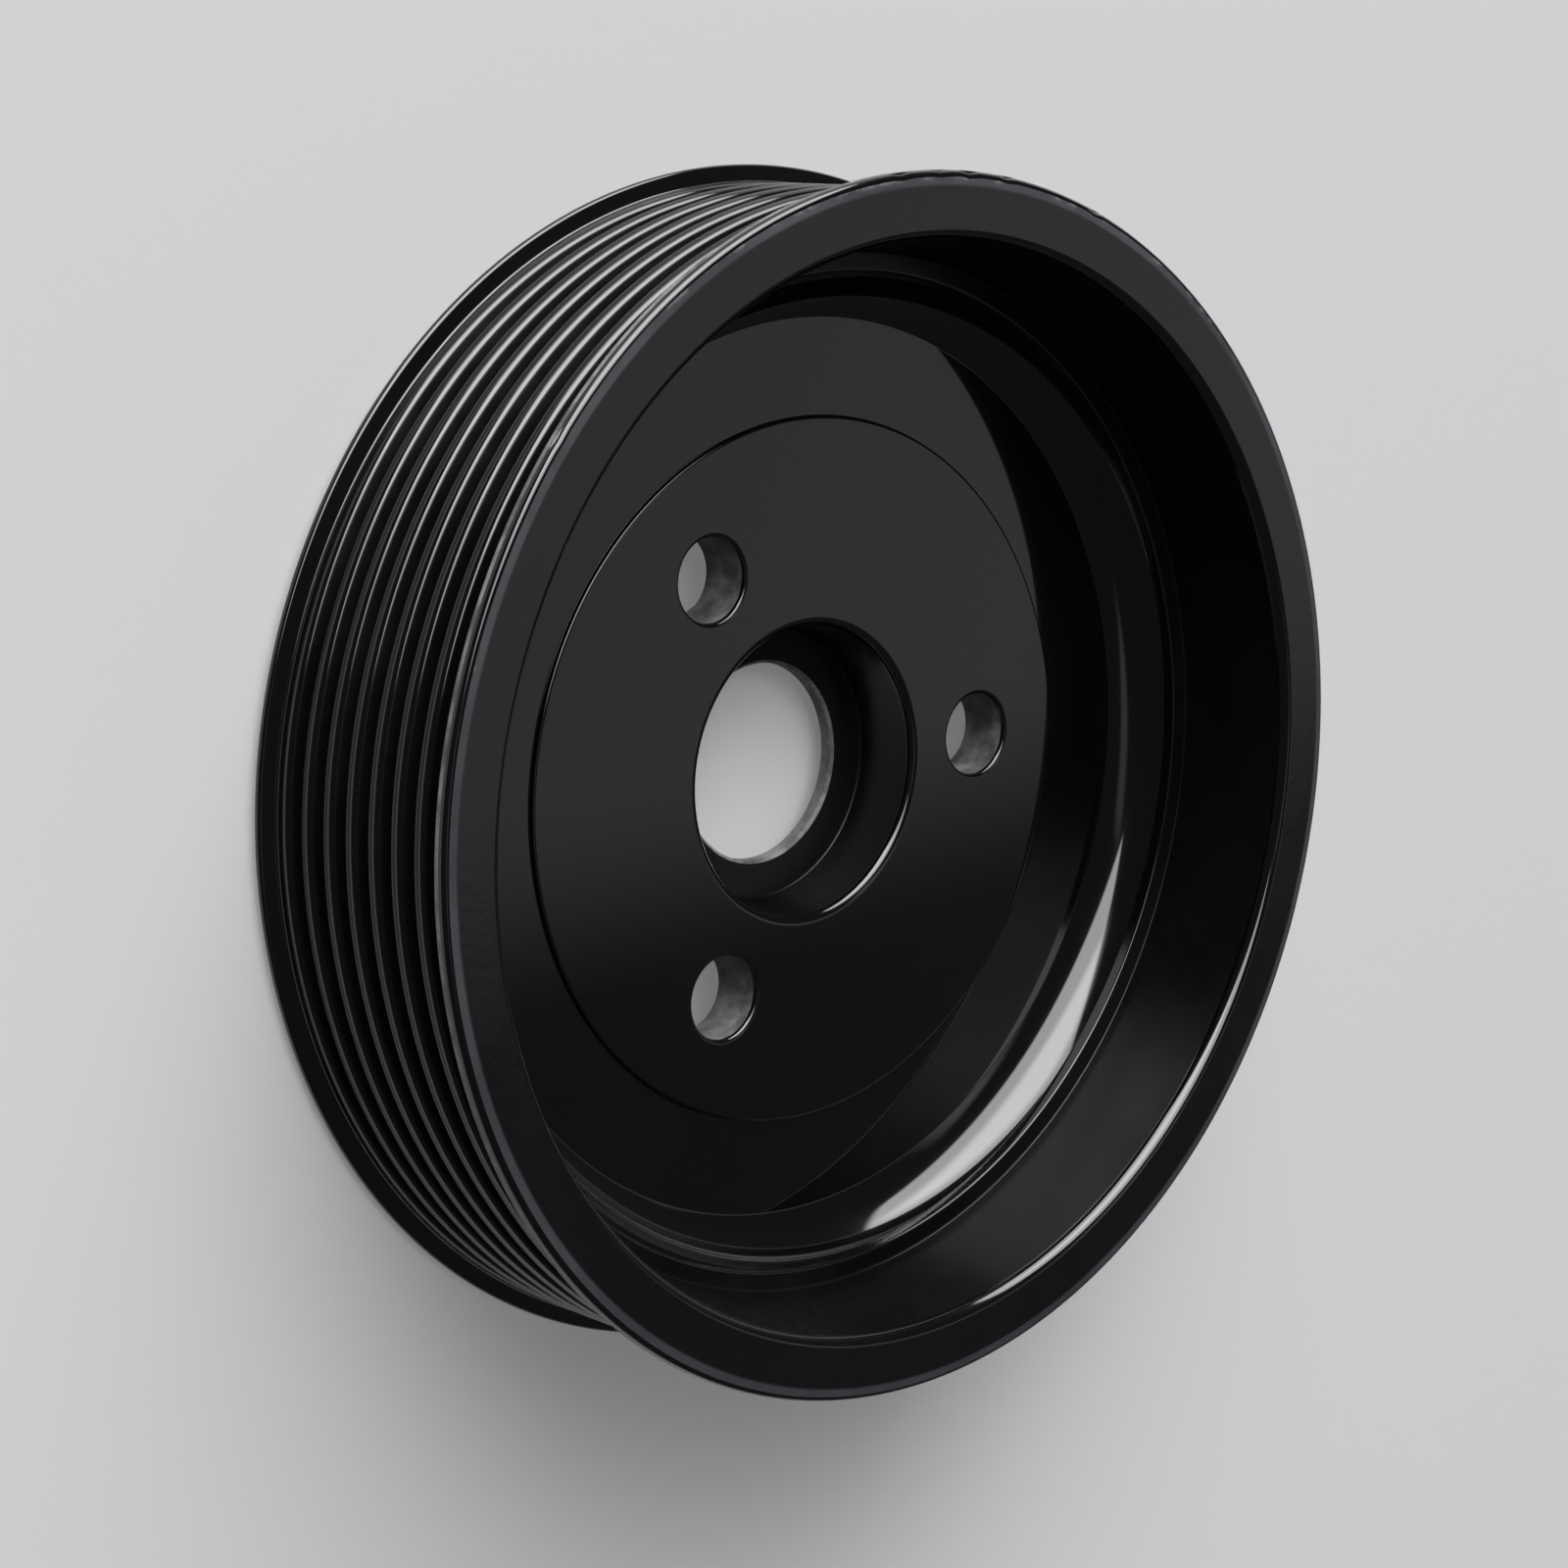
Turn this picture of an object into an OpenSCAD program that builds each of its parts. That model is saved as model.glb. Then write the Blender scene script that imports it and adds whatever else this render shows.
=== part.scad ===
// Ribbed belt pulley, turned from one piece: a grooved rim, a deep front cup, a web and a hub.
// The axis is Z, the open cup faces up, and the origin is at the middle of the rear end.

/* [Ribbed rim] */
// Diameter over the two flanges
flange_d = 127.6; // [116:0.4:170]
// Number of belt grooves
groove_n = 7; // [5:1:9]
// Spacing of the grooves
groove_pitch = 3.56; // [3.4:0.02:3.8]
// Included angle of a groove
groove_angle = 40; // [34:1:42]
// Width of a rib's top between its two walls
crest_w = 1.12; // [1.12:0.02:1.3]
// Rounding of a rib's top on each side
crest_round = 0.74; // [0.2:0.02:0.74]
// Width of the flat at the bottom of a groove
root_w = 0.6; // [0.4:0.05:0.9]
// Distance from an end face to the middle of the nearest groove
end_margin = 4.72; // [4.3:0.02:6]
// Height of the flanges over the ribs
flange_h = 1.8; // [0.8:0.1:2.2]
// Slope of a flange's inner side from the radial
flange_slope = 20; // [10:1:25]
// Flat at the foot of a flange
foot_w = 1.3; // [0.7:0.05:1.4]
// Total thickness of the rim from its inside to the flange tops
rim_t = 6.8; // [6.4:0.1:8]

/* [Rim ends] */
// Radial width of the bevel round the front end
bevel_w = 1.5; // [0.5:0.1:2]
// Depth of the bevel round the front end
bevel_h = 0.25; // [0.15:0.05:0.6]
// Chamfer round the outside of the rear end
rear_bevel = 1; // [0.3:0.1:1.2]
// Chamfer round the inside of the rear end
rear_break = 0.4; // [0.2:0.05:0.6]
// Rounding of the mouth of the cup
mouth_r = 3; // [1:0.1:3.2]

/* [Cup] */
// How far the cup wall leans in from its mouth to the ledge
wall_lean = 1.7; // [1:0.1:3]
// Width of the ledge at the foot of the cup wall
ledge_w = 2.1; // [1.6:0.1:2.8]
// Height of the ledge over the web
ledge_h = 5.7; // [5.3:0.1:7]
// Rounding of the ledge's inner edge
ledge_r = 0.4; // [0.2:0.1:0.6]
// Rounding in the corner between cup wall and ledge
corner_r = 0.5; // [0.3:0.1:1]
// Height of the hollow between web and ledge
hollow_h = 4.35; // [3:0.05:4.6]
// Radius of the hollow between web and ledge
hollow_r = 8.8; // [6:0.2:12]

/* [Web] */
// Distance of the web's rear face from the rear end
rear_depth = 5.85; // [4:0.05:7]
// Thickness of the web at the raised pad
web_t = 6.1; // [5:0.1:8]
// Diameter of the raised pad round the hub
pad_d = 76; // [72:1:80]
// Height of the raised pad over the web beside it
pad_h = 0.5; // [0.3:0.1:1]
// Bevel on the edge of the raised pad
pad_break = 0.25; // [0.1:0.05:0.3]
// Fillet in the corner of the rear recess
rear_fillet = 3; // [1:0.5:4]

/* [Hub] */
// Diameter of the bore through the hub
bore_d = 21.6; // [18:0.2:24]
// Chamfer at the front of the bore
bore_break = 0.3; // [0.2:0.1:0.6]
// Diameter of the hub recess at its lip
recess_d = 31.6; // [31:0.2:34]
// Diameter of the hub recess at its floor
floor_d = 29.6; // [28:0.2:30.6]
// Rounding of the lip of the hub recess
lip_r = 1; // [0.6:0.1:1.6]
// Height of the edge of the recess floor over the hub's rear face
floor_h = 2.3; // [2:0.1:3]
// Height of the middle of the recess floor over the hub's rear face
floor_dip_h = 1.8; // [1.4:0.1:2]
// Diameter of the boss behind the web
boss_d = 39; // [37:0.5:41]
// Distance of the hub's rear face from the rear end
boss_inset = 2.5; // [0.5:0.1:3.5]

/* [Bolt holes] */
// Number of bolt holes
bolt_n = 3; // [3:1:6]
// Diameter of the circle through the bolt holes
bolt_circle_d = 51.6; // [51:0.2:56]
// Diameter of a bolt hole
bolt_d = 9; // [6:0.1:10]
// Chamfer at the front of a bolt hole
bolt_break = 0.25; // [0.15:0.05:0.5]

/* [Hidden] */
$fn = 96;
// How far a cut reaches past the face that it cuts
cut = 1;
rim_w = (groove_n - 1) * groove_pitch + 2 * end_margin;
flange_r = flange_d / 2;
crest_r = flange_r - flange_h;
groove_half = (groove_pitch - crest_w) / 2;
root_r = crest_r - (groove_half - root_w / 2) / tan(groove_angle / 2);
// Heights of the middles of the grooves
groove_z = [for (i = [0 : groove_n - 1]) end_margin + i * groove_pitch];
// Distance of a flange's inner edges from its end face, at the foot and at the tip
foot_z = end_margin - groove_half - foot_w;
tip_z = foot_z - flange_h * tan(flange_slope);
cup_r = flange_r - rim_t;
pad_z = rear_depth + web_t;
web_z = pad_z - pad_h;
ledge_z = web_z + ledge_h;
wall_foot_r = cup_r - wall_lean;
ledge_in_r = wall_foot_r - ledge_w;
// Radius at which the hollow starts level from the web
hollow_foot_r = ledge_in_r - sqrt(2 * hollow_r * hollow_h - pow(hollow_h, 2));
boss_r = boss_d / 2;
bore_r = bore_d / 2;
floor_z = boss_inset + floor_h;
dip_z = boss_inset + floor_dip_h;

// Unit vector from point p to point q
function toward(p, q) = (q - p) / norm(q - p);

// Half the angle at corner p between its neighbours a and b
function half_angle(p, a, b) = acos(toward(p, a) * toward(p, b)) / 2;

// Distance from corner p to where a rounding of radius r starts
function run(p, a, b, r) = r / tan(half_angle(p, a, b));

// Direction from corner p into the corner, halfway between its neighbours a and b
function inward(p, a, b) = toward([0, 0], toward(p, a) + toward(p, b));

// Middle of the rounding of radius r in corner p
function middle(p, a, b, r) = p + inward(p, a, b) * r / sin(half_angle(p, a, b));

// The sliver between corner p and a rounding of radius r: cut from an outer corner, added in an inner one
module sliver(p, a, b, r) {
    c = middle(p, a, b, r);
    s = run(p, a, b, r);
    difference() {
        polygon([p, p + toward(p, a) * s, c, p + toward(p, b) * s]);
        translate(c)
            circle(r);
    }
}

// The sliver between the line from p to q and a hollow of radius r through both, with the air on the left
module hollow(p, q, r) {
    along = toward(p, q);
    side = [-along[1], along[0]];
    intersection() {
        polygon([p, q, q - side * r, p - side * r]);
        translate((p + q) / 2 + side * sqrt(r * r - pow(norm(q - p) / 2, 2)))
            circle(r);
    }
}

// Corners of the groove whose middle is at height z, from rear to front
function groove(z) = [
    [crest_r, z - groove_half],
    [root_r, z - root_w / 2],
    [root_r, z + root_w / 2],
    [crest_r, z + groove_half]
];

// What the roundings of the rib tops take off beside the groove with corners g
module crest_slivers(g) {
    sliver(g[0], g[0] - [0, crest_w], g[1], crest_round);
    sliver(g[3], g[3] + [0, crest_w], g[2], crest_round);
}

// Outside of the rim, from the rear end to the front end
function rim_points() = concat(
    [
        [flange_r - rear_bevel, 0],
        [flange_r, rear_bevel],
        [flange_r, tip_z],
        [crest_r, foot_z]
    ],
    [for (z = groove_z) each groove(z)],
    [
        [crest_r, rim_w - foot_z],
        [flange_r, rim_w - tip_z],
        [flange_r, rim_w - bevel_h],
        [flange_r - bevel_w, rim_w]
    ]
);

// Corners of the turned section that get a rounding or a fillet
mouth = [cup_r, rim_w];
wall_foot = [wall_foot_r, ledge_z];
ledge_edge = [ledge_in_r, ledge_z];
hollow_top = [ledge_in_r, web_z + hollow_h];
hollow_foot = [hollow_foot_r, web_z];
pad_edge = [pad_d / 2 - pad_break, pad_z];
recess_lip = [recess_d / 2, pad_z];
recess_foot = [floor_d / 2, floor_z];
rear_corner = [cup_r, rear_depth];
boss_foot = [boss_r, rear_depth];

// Half section of the pulley with sharp corners
module sharp_section() {
    polygon(concat(
        [
            [bore_r, boss_inset],
            [boss_r, boss_inset],
            boss_foot,
            rear_corner,
            [cup_r, rear_break],
            [cup_r + rear_break, 0]
        ],
        rim_points(),
        [
            mouth,
            wall_foot,
            ledge_edge,
            hollow_top,
            hollow_foot,
            [pad_d / 2, web_z],
            [pad_d / 2, pad_z - pad_break],
            pad_edge,
            recess_lip,
            recess_foot,
            [bore_r + bore_break, dip_z],
            [bore_r, dip_z - bore_break]
        ]
    ));
}

// Half section of the pulley with its roundings and fillets
module section() {
    difference() {
        union() {
            sharp_section();
            sliver(wall_foot, mouth, ledge_edge, corner_r);
            sliver(rear_corner, boss_foot, [cup_r, 0], rear_fillet);
        }
        for (z = groove_z)
            crest_slivers(groove(z));
        sliver(mouth, [flange_r, rim_w], wall_foot, mouth_r);
        sliver(ledge_edge, wall_foot, hollow_top, ledge_r);
        hollow(hollow_foot, hollow_top, hollow_r);
        sliver(recess_lip, pad_edge, recess_foot, lip_r);
    }
}

// One bolt hole with the chamfer at its front
module bolt_hole() {
    translate([0, 0, rear_depth - cut])
        cylinder(h = web_t + 2 * cut, d = bolt_d);
    translate([0, 0, pad_z - bolt_break])
        cylinder(h = bolt_break + cut, d1 = bolt_d, d2 = bolt_d + 2 * (bolt_break + cut));
}

module pulley() {
    color([0.03, 0.03, 0.032])
        difference() {
            rotate_extrude()
                section();
            for (i = [0 : bolt_n - 1])
                rotate([0, 0, 360 / bolt_n * i])
                    translate([bolt_circle_d / 2, 0, 0])
                        bolt_hole();
        }
}

pulley();
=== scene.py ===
"""Looks of the ribbed belt pulley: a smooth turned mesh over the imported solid, its coating, light and camera."""
import math

import bpy
import numpy as np
from mathutils import Matrix, Vector
from mathutils.geometry import tessellate_polygon


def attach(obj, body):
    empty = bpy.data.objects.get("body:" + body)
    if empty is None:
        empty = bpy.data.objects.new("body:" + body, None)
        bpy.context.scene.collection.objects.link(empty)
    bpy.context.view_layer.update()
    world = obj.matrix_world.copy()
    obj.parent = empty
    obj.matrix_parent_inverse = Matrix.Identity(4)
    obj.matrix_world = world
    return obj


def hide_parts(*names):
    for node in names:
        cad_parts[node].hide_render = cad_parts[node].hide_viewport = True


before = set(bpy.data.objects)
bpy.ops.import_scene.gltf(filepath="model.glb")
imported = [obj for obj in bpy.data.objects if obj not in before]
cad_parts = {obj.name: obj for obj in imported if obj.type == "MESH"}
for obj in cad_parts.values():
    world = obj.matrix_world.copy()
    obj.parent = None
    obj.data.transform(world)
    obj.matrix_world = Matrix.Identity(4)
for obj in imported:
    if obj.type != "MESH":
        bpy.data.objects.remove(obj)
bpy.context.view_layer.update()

MM = 0.001

# Sizes of the part in millimetres. They follow its source, apart from the rib tops, the foot of the hollow,
# the mouth of the cup and small edges.
FLANGE_R, CREST_R = 63.8, 62.0
GROOVES, PITCH, GROOVE_ANGLE, ROOT_W = 7, 3.56, 40.0, 0.6
CREST_W, CREST_ROUND = 1.36, 0.96
END_MARGIN, FOOT_W, FLANGE_SLOPE = 4.72, 1.42, 20.0
REAR_BEVEL, REAR_BREAK, BEVEL_W, BEVEL_H = 1.0, 0.4, 1.5, 0.25
RIM_W = (GROOVES - 1) * PITCH + 2 * END_MARGIN
CUP_R, WALL_FOOT_R, LEDGE_R = 57.0, 55.3, 53.2
HOLLOW_H, HOLLOW_FOOT_R, HOLLOW_RISE = 4.35, 48.3, 20.0
REAR_Z, PAD_Z, WEB_Z, LEDGE_Z, PAD_R = 5.85, 11.95, 11.45, 17.15, 38.0
RECESS_R, FLOOR_R, FLOOR_Z, DIP_Z = 15.8, 14.8, 4.8, 4.3
BORE_R, BORE_BREAK, BOSS_R, BOSS_Z = 10.8, 0.3, 19.5, 2.5
BOLT_CIRCLE_R, BOLT_R, BOLTS = 25.8, 4.5, 3
# Roundings at the front and the rear of a bolt hole
HOLE_FRONT, HOLE_REAR = 0.5, 0.15

GROOVE_HALF = (PITCH - CREST_W) / 2
ROOT_R = CREST_R - (GROOVE_HALF - ROOT_W / 2) / math.tan(math.radians(GROOVE_ANGLE / 2))
FOOT_Z = END_MARGIN - GROOVE_HALF - FOOT_W
TIP_Z = FOOT_Z - (FLANGE_R - CREST_R) * math.tan(math.radians(FLANGE_SLOPE))
# The hollow between web and ledge is an arc that leaves the web at the angle HOLLOW_RISE
HOLLOW_FOOT = (HOLLOW_FOOT_R, WEB_Z)
HOLLOW_TOP = (LEDGE_R, WEB_Z + HOLLOW_H)
HOLLOW_CHORD = math.hypot(LEDGE_R - HOLLOW_FOOT_R, HOLLOW_H)
HOLLOW_CHORD_RISE = math.atan2(HOLLOW_H, LEDGE_R - HOLLOW_FOOT_R)
HOLLOW_R = HOLLOW_CHORD / 2 / math.sin(HOLLOW_CHORD_RISE - math.radians(HOLLOW_RISE))
# How much smaller the arc is made, to leave room for the roundings at its ends
HOLLOW_SLACK = 0.3
# Mouth of the cup: a tight inner edge of the rim face over a wider rounding into the wall
LIP, LIP_FOOT = (CUP_R + 0.75, RIM_W), (CUP_R - 0.07, RIM_W - 0.59)

# Steps round the axis and round a bolt hole, and along a hole's front and rear rounding
COLUMNS, HOLE_COLUMNS = 288, 72
HOLE_FRONT_STEPS, HOLE_REAR_STEPS = 8, 3
# Material slots of the mesh
GLOSS, RUBBED_AND_SHEEN, DULL, WORN_AND_SHEEN = range(4)
# A rib shines down to this depth under its top, where it leans this far to the front (height part of the normal)
SHINE_DEPTH, SHINE_LEAN = 0.5, 0.25
# How far a strip of the ribs may lie outside of their radii
RIB_SLACK = 0.05
# Small nicks in the outer front edge: azimuth in degrees, depth in millimetres
NICKS = ((139.0, 0.25), (92.0, 0.14), (88.0, 0.1), (83.5, 0.16), (79.0, 0.12), (66.0, 0.12))
# Rows of that edge, from its outer side, that a nick leaves alone
NICK_START = 2


def tangents_meet(p, q, radius):
    """Where the tangents at both ends of a hollow arc from p to q meet."""
    dr, dz = q[0] - p[0], q[1] - p[1]
    chord = math.hypot(dr, dz)
    drop = (chord / 2) ** 2 / math.sqrt(radius ** 2 - (chord / 2) ** 2)
    return (p[0] + q[0]) / 2 + dz / chord * drop, (p[1] + q[1]) / 2 - dr / chord * drop


def section_corners():
    """Corners of the half section, anticlockwise from the rear of the bore.

    Each is (radius, height, rounding, arc steps, tag).
    """
    corners = [
        (BORE_R, BOSS_Z, 0.2, 3, ""),
        (BOSS_R, BOSS_Z, 0.4, 4, ""),
        (BOSS_R, REAR_Z, 0.5, 4, "rear_in"),
        (CUP_R, REAR_Z, 3.0, 10, "rear_out"),
        (CUP_R, REAR_BREAK, 0.15, 2, ""),
        (CUP_R + REAR_BREAK, 0.0, 0.15, 2, ""),
        (FLANGE_R - REAR_BEVEL, 0.0, 0.2, 2, ""),
        (FLANGE_R, REAR_BEVEL, 0.3, 3, ""),
        (FLANGE_R, TIP_Z, 0.5, 5, ""),
        (CREST_R, FOOT_Z, 0.35, 5, ""),
    ]
    for i in range(GROOVES):
        z = END_MARGIN + i * PITCH
        corners += [
            (CREST_R, z - GROOVE_HALF, CREST_ROUND, 5, ""),
            (ROOT_R, z - ROOT_W / 2, 0.25, 2, ""),
            (ROOT_R, z + ROOT_W / 2, 0.25, 2, ""),
            (CREST_R, z + GROOVE_HALF, CREST_ROUND, 5, ""),
        ]
    corners += [
        (CREST_R, RIM_W - FOOT_Z, 0.35, 4, ""),
        (FLANGE_R, RIM_W - TIP_Z, 0.2, 4, "land"),
        (FLANGE_R, RIM_W - BEVEL_H, 0.8, 10, "corner"),
        (FLANGE_R - BEVEL_W, RIM_W, 0.8, 3, ""),
        (*LIP, 0.7, 8, "mouth"),
        (*LIP_FOOT, 1.72, 14, "wall_top"),
        (WALL_FOOT_R, LEDGE_Z, 0.3, 4, ""),
        (LEDGE_R, LEDGE_Z, 0.25, 5, "ledge"),
        (*HOLLOW_TOP, 0.2, 2, ""),
        (*tangents_meet(HOLLOW_FOOT, HOLLOW_TOP, HOLLOW_R), HOLLOW_R - HOLLOW_SLACK, 20, ""),
        (*HOLLOW_FOOT, 0.5, 4, ""),
        (PAD_R, WEB_Z, 0.05, 2, ""),
        (PAD_R, PAD_Z, 0.42, 8, "pad_out"),
        (RECESS_R, PAD_Z, 1.0, 10, "pad_in"),
        (FLOOR_R, FLOOR_Z, 0.35, 4, ""),
        (BORE_R + BORE_BREAK, DIP_Z, 0.12, 2, "bore"),
        (BORE_R, DIP_Z - BORE_BREAK, 0.12, 2, ""),
    ]
    return corners


def rounded(corners):
    """Points and outward normals of the closed section, and the first and last point of each tagged corner."""
    points, normals, tags = [], [], {}
    n = len(corners)
    for i, (r, z, rho, steps, tag) in enumerate(corners):
        p = np.array([r, z])
        a = np.array(corners[i - 1][:2]) - p
        b = np.array(corners[(i + 1) % n][:2]) - p
        a /= np.linalg.norm(a)
        b /= np.linalg.norm(b)
        half = math.acos(max(-1.0, min(1.0, float(a @ b)))) / 2
        middle = p + (a + b) / np.linalg.norm(a + b) * rho / math.sin(half)
        start = p + a * rho / math.tan(half)
        end = p + b * rho / math.tan(half)
        turn = -a[0] * b[1] + a[1] * b[0]
        sign = 1.0 if turn > 0 else -1.0
        s0 = math.atan2(*(start - middle)[::-1])
        s1 = math.atan2(*(end - middle)[::-1])
        sweep = (s1 - s0 + math.pi) % (2 * math.pi) - math.pi
        first = len(points)
        for k in range(steps + 1):
            t = s0 + sweep * k / steps
            d = np.array([math.cos(t), math.sin(t)])
            points.append(middle + rho * d)
            normals.append(sign * d)
        if tag:
            tags[tag] = (first, len(points) - 1)
    return np.array(points), np.array(normals), tags


def swept(pairs):
    """Pairs of radius and height, turned about Z."""
    angle = np.arange(COLUMNS) * 2 * math.pi / COLUMNS
    x, y = np.outer(pairs[:, 0], np.cos(angle)), np.outer(pairs[:, 0], np.sin(angle))
    return np.stack([x, y, np.repeat(pairs[:, 1:], COLUMNS, 1)], -1).reshape(-1, 3)


def strip_faces(strips, rows):
    """Quads of the turned section, for the strips that start at the given rows."""
    faces = []
    for i in strips:
        j = (i + 1) % rows
        for k in range(COLUMNS):
            m = (k + 1) % COLUMNS
            faces.append((i * COLUMNS + k, i * COLUMNS + m, j * COLUMNS + m, j * COLUMNS + k))
    return faces


def strip_finish(i, points, normals, tags):
    """Material slot of the strip from row i of the section to the next row."""
    j = (i + 1) % len(points)
    # The rim face and its bevel get the rubbed coating, whose paler bevel tint is in part a painted sheen
    if tags["corner"][1] <= i <= tags["mouth"][0]:
        return RUBBED_AND_SHEEN
    # The front flange's land and the bore get the worn coating, whose light grey is in part a painted sheen
    if tags["land"][1] <= i < tags["corner"][0] or i >= tags["bore"][0]:
        return WORN_AND_SHEEN
    if tags["pad_in"][1] <= i or tags["wall_top"][1] <= i < tags["ledge"][0]:
        return DULL
    # Only the front shoulders of the ribs shine
    r, z = (points[i] + points[j]) / 2
    lean = (normals[i][1] + normals[j][1]) / 2
    ribbed = ROOT_R - RIB_SLACK < r < CREST_R + RIB_SLACK and FOOT_Z < z < RIM_W - FOOT_Z
    if ribbed and (r < CREST_R - SHINE_DEPTH or lean < SHINE_LEAN):
        return DULL
    return GLOSS


def cut_nicks(verts, tags):
    """Push the outer front edge in at each nick."""
    for azimuth, depth in NICKS:
        k = round(azimuth / 360 * COLUMNS) % COLUMNS
        for i in range(tags["corner"][0] + NICK_START, tags["corner"][1] + 1):
            verts[i * COLUMNS + k] *= 1 - depth / FLANGE_R
            verts[i * COLUMNS + k, 2] -= depth / 2


def hole_profile():
    """Radius, height and normal of a bolt hole's wall from the front face to the rear face."""
    wall = []
    for k in range(HOLE_FRONT_STEPS + 1):
        t = math.radians(90 * k / HOLE_FRONT_STEPS)
        r = BOLT_R + HOLE_FRONT - HOLE_FRONT * math.sin(t)
        z = PAD_Z - HOLE_FRONT + HOLE_FRONT * math.cos(t)
        wall.append((r, z, -math.sin(t), math.cos(t)))
    for k in range(HOLE_REAR_STEPS + 1):
        t = math.radians(90 * k / HOLE_REAR_STEPS)
        r = BOLT_R + HOLE_REAR - HOLE_REAR * math.cos(t)
        z = REAR_Z + HOLE_REAR - HOLE_REAR * math.sin(t)
        wall.append((r, z, -math.cos(t), -math.sin(t)))
    return wall


def add_holes(verts, norms, faces, finish):
    """Add the walls of the bolt holes, and give the vertices of each hole's front edge and rear edge."""
    wall = hole_profile()
    edges = []
    for b in range(BOLTS):
        at = 2 * math.pi * b / BOLTS
        cx, cy = BOLT_CIRCLE_R * math.cos(at), BOLT_CIRCLE_R * math.sin(at)
        base = len(verts)
        for r, z, nr, nz in wall:
            for k in range(HOLE_COLUMNS):
                t = 2 * math.pi * k / HOLE_COLUMNS
                verts.append((cx + r * math.cos(t), cy + r * math.sin(t), z))
                norms.append((nr * math.cos(t), nr * math.sin(t), nz))
        for i in range(len(wall) - 1):
            # Behind the front rounding the hole wall gets the worn coating, whose light grey is in part a painted
            # sheen
            finish += [WORN_AND_SHEEN if i >= HOLE_FRONT_STEPS else GLOSS] * HOLE_COLUMNS
            row, below = base + i * HOLE_COLUMNS, base + (i + 1) * HOLE_COLUMNS
            for k in range(HOLE_COLUMNS):
                m = (k + 1) % HOLE_COLUMNS
                faces.append((row + k, row + m, below + m, below + k))
        last = len(verts) - HOLE_COLUMNS
        edges.append((list(range(base, base + HOLE_COLUMNS)), list(range(last, len(verts)))))
    return edges


def add_flat(verts, faces, rows, hole_edges, up):
    """Add the flat face between two rows of the section, open at the bolt holes. It faces up (1) or down (-1)."""
    rings = [list(range(i * COLUMNS, (i + 1) * COLUMNS)) for i in rows] + hole_edges
    ids = [v for ring in rings for v in ring]
    for tri in tessellate_polygon([[Vector(verts[v]) for v in ring] for ring in rings]):
        face = [ids[t] for t in tri]
        a, b, c = (np.array(verts[v]) for v in face)
        if np.cross(b - a, c - a)[2] * up < 0:
            face.reverse()
        faces.append(tuple(face))


def build_pulley():
    """The whole pulley as one closed mesh with smooth normals."""
    points, normals, tags = rounded(section_corners())
    # The flat faces that the bolt holes go through are made apart from the turned strips
    front = (tags["pad_out"][1], tags["pad_in"][0])
    rear = (tags["rear_in"][1], tags["rear_out"][0])
    strips = [i for i in range(len(points)) if i not in (front[0], rear[0])]
    verts = swept(points)
    cut_nicks(verts, tags)
    verts, norms = list(map(tuple, verts)), list(map(tuple, swept(normals)))
    faces = strip_faces(strips, len(points))
    finish = [strip_finish(i, points, normals, tags) for i in strips for _ in range(COLUMNS)]
    hole_edges = add_holes(verts, norms, faces, finish)
    add_flat(verts, faces, front, [e[0] for e in hole_edges], 1)
    add_flat(verts, faces, rear, [e[1] for e in hole_edges], -1)
    finish += [GLOSS] * (len(faces) - len(finish))

    mesh = bpy.data.meshes.new("pulley_skin")
    mesh.from_pydata([tuple(c * MM for c in v) for v in verts], [], faces)
    mesh.update()
    mesh.polygons.foreach_set("use_smooth", [True] * len(faces))
    mesh.polygons.foreach_set("material_index", finish)
    mesh.normals_split_custom_set_from_vertices([Vector(v).normalized() for v in norms])
    obj = bpy.data.objects.new("pulley_skin", mesh)
    bpy.context.scene.collection.objects.link(obj)
    return obj


class Nodes:
    """Short way to write the node tree of a material, a lamp or the world."""

    def __init__(self, owner):
        owner.use_nodes = True
        self.tree = owner.node_tree
        self.tree.nodes.clear()

    def add(self, kind, inputs=None, **settings):
        node = self.tree.nodes.new(kind)
        for k, v in settings.items():
            setattr(node, k, v)
        for k, v in (inputs or {}).items():
            if isinstance(v, bpy.types.NodeSocket):
                self.tree.links.new(v, node.inputs[k])
            else:
                node.inputs[k].default_value = v
        return node

    def end(self, kind, node):
        self.tree.links.new(node.outputs[0], self.add(kind).inputs[0])

    def math(self, op, a, b=0.0, clamp=False):
        return self.add("ShaderNodeMath", {0: a, 1: b}, operation=op, use_clamp=clamp).outputs[0]

    def vector(self, op, a, b=(0, 0, 0), output="Value"):
        return self.add("ShaderNodeVectorMath", {0: a, 1: b}, operation=op).outputs[output]

    def ramp(self, value, low, high, to_low=0.0, to_high=1.0):
        inputs = {0: value, 1: low, 2: high, 3: to_low, 4: to_high}
        return self.add("ShaderNodeMapRange", inputs, interpolation_type="SMOOTHSTEP").outputs[0]


class Finish(Nodes):
    """Node tree of a new material whose patterns follow the place on the part."""

    BUMP_DISTANCE = 0.0002

    def __init__(self, name):
        self.material = bpy.data.materials.new(name)
        super().__init__(self.material)
        self.place = self.add("ShaderNodeTexCoord").outputs["Object"]

    def noise(self, scale, detail, roughness=0.5):
        inputs = {"Vector": self.place, "Scale": scale, "Detail": detail, "Roughness": roughness}
        return self.add("ShaderNodeTexNoise", inputs).outputs[0]

    def mix(self, share, low, high):
        return self.add("ShaderNodeMix", {0: share, 6: low, 7: high}, data_type="RGBA").outputs[2]

    def bump(self, height, strength):
        inputs = {"Strength": strength, "Distance": self.BUMP_DISTANCE, "Height": height}
        return self.add("ShaderNodeBump", inputs).outputs[0]

    def shaded(self, inputs):
        self.end("ShaderNodeOutputMaterial", self.add("ShaderNodeBsdfPrincipled", inputs))
        return self.material


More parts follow.
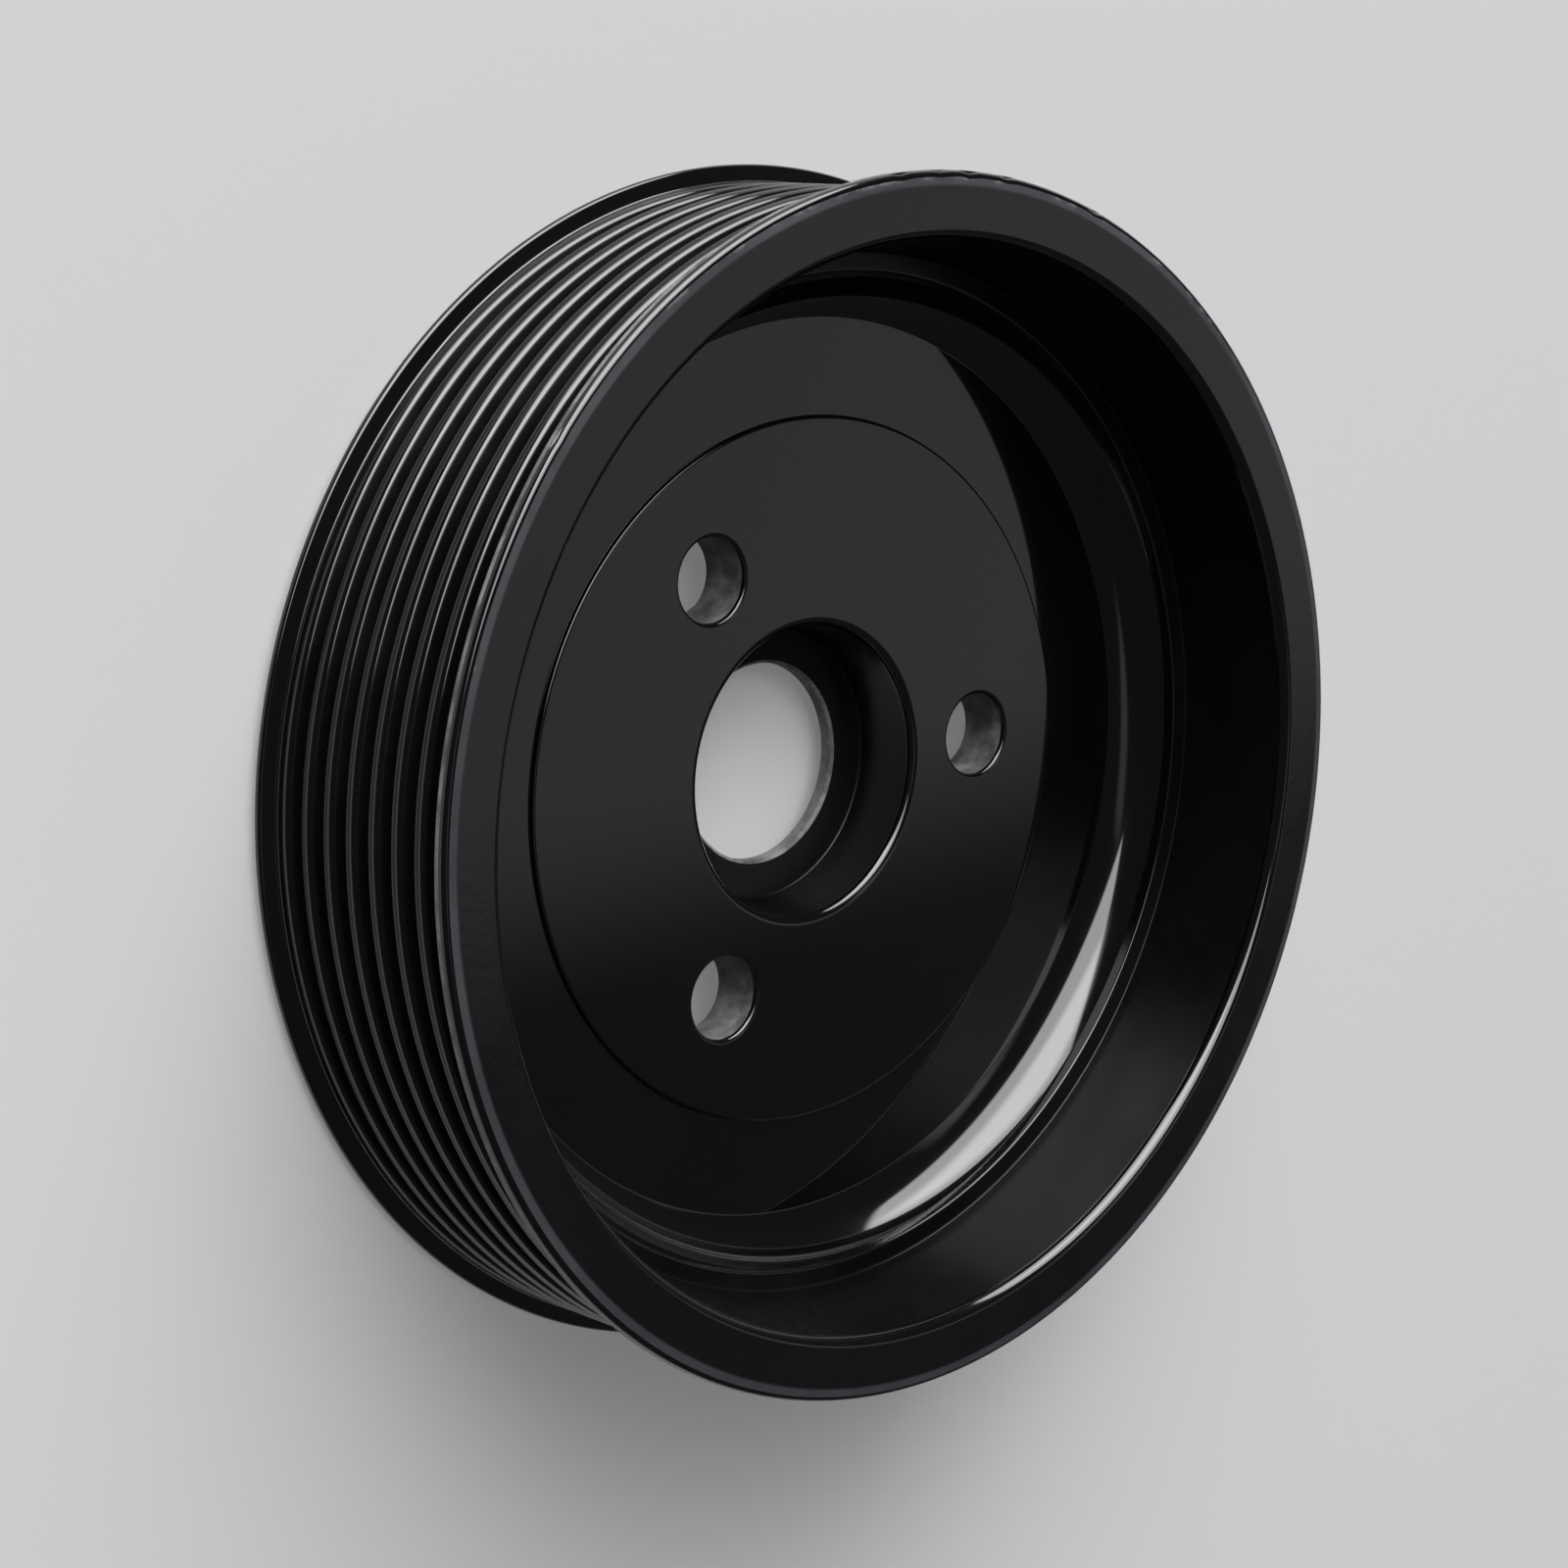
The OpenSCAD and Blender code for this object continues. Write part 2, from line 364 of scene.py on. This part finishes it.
def coating():
    """The gloss black coating, with faint smudges and a slight orange peel."""
    n = Finish("gloss_black_coating")
    smudge = n.noise(45.0, 4.0, 0.6)
    return n.shaded({
        "Base Color": n.mix(smudge, (0.0008, 0.0008, 0.0009, 1), (0.0016, 0.0016, 0.0018, 1)),
        "Roughness": n.ramp(smudge, 0.35, 0.7, 0.13, 0.2),
        "IOR": 1.5,
        "Specular IOR Level": 0.08,
        "Coat Weight": 1.0,
        "Coat Roughness": 0.03,
        "Coat IOR": 1.6,
        "Normal": n.bump(n.noise(700.0, 2.0), 0.03),
    })


def satin():
    """The same coating, rubbed duller on the front end of the rim, most of all on its bevel, whose paler tint is
    in part a painted sheen.
    """
    # Radii in metres between which the bevel begins, and between which its scuffs begin
    bevel_radii, scuff_radii = (0.0621, 0.0625), (0.0626, 0.0633)
    n = Finish("rubbed_and_sheen_black_coating")
    radius = n.vector("LENGTH", n.vector("MULTIPLY", n.place, (1, 1, 0), output="Vector"))
    bevel = n.ramp(radius, *bevel_radii)
    cloud = n.noise(60.0, 5.0, 0.65)
    # How pale the rim face and most of all the bevel are: rubbed wear, and in part a painted sheen
    rubbed_and_sheen = n.math("ADD", n.math("MULTIPLY", bevel, 0.85), 0.05)
    rubbed_and_sheen = n.math("MULTIPLY", rubbed_and_sheen, n.ramp(cloud, 0.25, 0.75, 0.65, 1.3), clamp=True)
    tint = n.mix(rubbed_and_sheen, (0.001, 0.001, 0.0012, 1), (0.046, 0.046, 0.054, 1))
    # Pale scuffs on the outer half of the bevel, most of them on the +Y side
    side = n.vector("DOT_PRODUCT", n.place, (0.1, 1.0, 0))
    scuffs = n.math("ADD", n.noise(420.0, 4.0, 0.7), n.ramp(side, 0.03, 0.063, -0.04, 0.1))
    scuffs = n.math("MULTIPLY", n.ramp(scuffs, 0.6, 0.72), n.ramp(radius, *scuff_radii))
    return n.shaded({
        "Base Color": n.mix(scuffs, tint, (0.16, 0.16, 0.165, 1)),
        "Roughness": n.math("ADD", n.ramp(cloud, 0.3, 0.7, 0.1, 0.16), n.math("MULTIPLY", bevel, 0.26)),
        "IOR": 1.6,
        "Normal": n.bump(n.noise(900.0, 3.0), 0.05),
    })


def dull():
    """The coating where it is less glossy: in the belt grooves, on the cup wall and in the hub recess."""
    n = Finish("dull_black_coating")
    cloud = n.noise(80.0, 5.0, 0.6)
    return n.shaded({
        "Base Color": n.mix(cloud, (0.0012, 0.0012, 0.0013, 1), (0.0035, 0.0035, 0.0037, 1)),
        "Roughness": n.ramp(cloud, 0.3, 0.7, 0.2, 0.32),
        "IOR": 1.5,
        "Specular IOR Level": 0.2,
        "Normal": n.bump(n.noise(1200.0, 2.0), 0.02),
    })


def worn_and_sheen():
    """Thin, mottled coating with metal showing, whose light grey is in part a painted sheen: in the holes, in the
    bore and on the front flange's land.
    """
    n = Finish("worn_and_sheen_coating")
    patch = n.noise(260.0, 5.0, 0.65)
    return n.shaded({
        "Base Color": n.mix(n.ramp(patch, 0.32, 0.68), (0.05, 0.05, 0.053, 1), (0.19, 0.19, 0.197, 1)),
        "Roughness": n.ramp(patch, 0.3, 0.7, 0.45, 0.6),
        "IOR": 1.5,
        "Specular IOR Level": 0.2,
        "Normal": n.bump(n.noise(1500.0, 3.0), 0.12),
    })


pulley = build_pulley()
# In the order GLOSS, RUBBED_AND_SHEEN, DULL, WORN_AND_SHEEN: the rubbed coating's pale bevel and the worn
# coating's light grey are in part painted sheen
for material in (coating(), satin(), dull(), worn_and_sheen()):
    pulley.data.materials.append(material)
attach(pulley, "root")
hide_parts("pulley")

# Camera at the photograph's viewing angle: its place, and its axes in the part's frame
CAMERA_AT = (-0.260522, 0.083024, 0.288694)
RIGHT = (0.728863, -0.025036, 0.684201)
UP = (0.165994, 0.975977, -0.141117)
BACK = (-0.664232, 0.216429, 0.71551)
camera = bpy.data.objects.new("camera", bpy.data.cameras.new("camera"))
bpy.context.scene.collection.objects.link(camera)
camera.matrix_world = Matrix.Translation(CAMERA_AT) @ Matrix((RIGHT, UP, BACK)).transposed().to_4x4()
camera.data.sensor_width = 36.0
camera.data.lens = 83.6713
camera.data.clip_start, camera.data.clip_end = 0.01, 100.0
bpy.context.scene.camera = camera

# Pale floor just under the rear end, with a little light of its own for what is seen straight or in a mirror
FLOOR_HALF, FLOOR_GAP = 40.0, 0.0002
floor_mesh = bpy.data.meshes.new("floor")
floor_mesh.from_pydata([(x * FLOOR_HALF, y * FLOOR_HALF, 0) for x, y in ((-1, -1), (1, -1), (1, 1), (-1, 1))],
                       [], [(0, 1, 2, 3)])
floor = bpy.data.objects.new("floor", floor_mesh)
floor.location.z = -FLOOR_GAP
bpy.context.scene.collection.objects.link(floor)
paper = bpy.data.materials.new("floor_paper")
paper_nodes = Nodes(paper)
rays = paper_nodes.add("ShaderNodeLightPath").outputs
seen = paper_nodes.math("MAXIMUM", rays["Is Camera Ray"], rays["Is Glossy Ray"])
seen = paper_nodes.math("MAXIMUM", seen, rays["Is Transmission Ray"])
paper_nodes.end("ShaderNodeOutputMaterial", paper_nodes.add("ShaderNodeBsdfPrincipled", {
    "Base Color": (0.4, 0.4, 0.405, 1),
    "Roughness": 1.0,
    "Specular IOR Level": 0.0,
    "Emission Color": (0.16, 0.16, 0.163, 1),
    "Emission Strength": seen,
}))
floor_mesh.materials.append(paper)

# Soft lamps: name, azimuth and elevation of the corners, half width of the soft edge in degrees, radiance
LAMP_DISTANCE = 4.0
LAMPS = (
    ("key", ((56, -3), (55, 31), (118, 65), (162, 56), (108, -3)), 2, 5.2),
    ("core", ((56, 14), (55, 34), (105, 47), (150, 50), (124, 24), (108, 14)), 6, 4.0),
    ("fill", ((-12, 33), (-32.5, 58), (8, 58), (6, 33)), 2, 0.33),
    ("glow", ((-4, 55), (-8, 66), (40, 68), (44, 58)), 4, 0.7),
    ("near", ((160, 61), (170, 74), (-130, 74), (-120, 61)), 3, 0.38),
)


def from_angles(azimuth, elevation):
    """Unit vector in the part's frame."""
    a, e = math.radians(azimuth), math.radians(elevation)
    return Vector((math.cos(a) * math.cos(e), math.sin(a) * math.cos(e), math.sin(e)))


def add_lamp(name, corners, soft, radiance):
    """A flat lamp that faces the part, masked to the outline that its corners give."""
    points = [from_angles(*c) for c in corners]
    way = sum(points, Vector()).normalized()
    turn = (-way).to_track_quat("-Z", "Y")
    across, up = turn @ Vector((1, 0, 0)), turn @ Vector((0, 1, 0))
    # Corners on a plane one unit away
    flat = [Vector((p.dot(across), p.dot(up))) / p.dot(way) for p in points]
    edge = math.tan(math.radians(soft))
    half = Vector([max(abs(p[i]) for p in flat) + edge for i in (0, 1)])
    lamp = bpy.data.lights.new(name, "AREA")
    lamp.shape = "RECTANGLE"
    lamp.size, lamp.size_y = (2 * LAMP_DISTANCE * h for h in half)
    lamp.energy = radiance * math.pi * lamp.size * lamp.size_y
    n = Nodes(lamp)
    spot = n.add("ShaderNodeNewGeometry").outputs["Parametric"]
    level = 1.0
    for p, q in zip(flat, flat[1:] + flat[:1]):
        inward = Vector((p[1] - q[1], q[0] - p[0])).normalized()
        inward *= 1 if inward.dot(-p) > 0 else -1
        slope = Vector((inward[0] * half[0], inward[1] * half[1])) * 2
        zero = slope[0] / 2 + slope[1] / 2 + inward.dot(p)
        depth = n.vector("DOT_PRODUCT", spot, (*slope, 0))
        level = n.math("MULTIPLY", level, n.ramp(depth, zero - edge, zero + edge))
    n.end("ShaderNodeOutputLight", n.add("ShaderNodeEmission", {"Strength": level}))
    obj = bpy.data.objects.new(name, lamp)
    bpy.context.scene.collection.objects.link(obj)
    obj.location = way * LAMP_DISTANCE
    obj.rotation_mode = "QUATERNION"
    obj.rotation_quaternion = turn
    obj.visible_camera = False


for lamp_values in LAMPS:
    add_lamp(*lamp_values)

# A dim grey room round it all
world = bpy.data.worlds.new("studio")
bpy.context.scene.world = world
room = Nodes(world)
room.end("ShaderNodeOutputWorld", room.add("ShaderNodeBackground", {"Color": (1, 1, 1.03, 1), "Strength": 0.06}))

bpy.context.scene.view_settings.view_transform = "Standard"
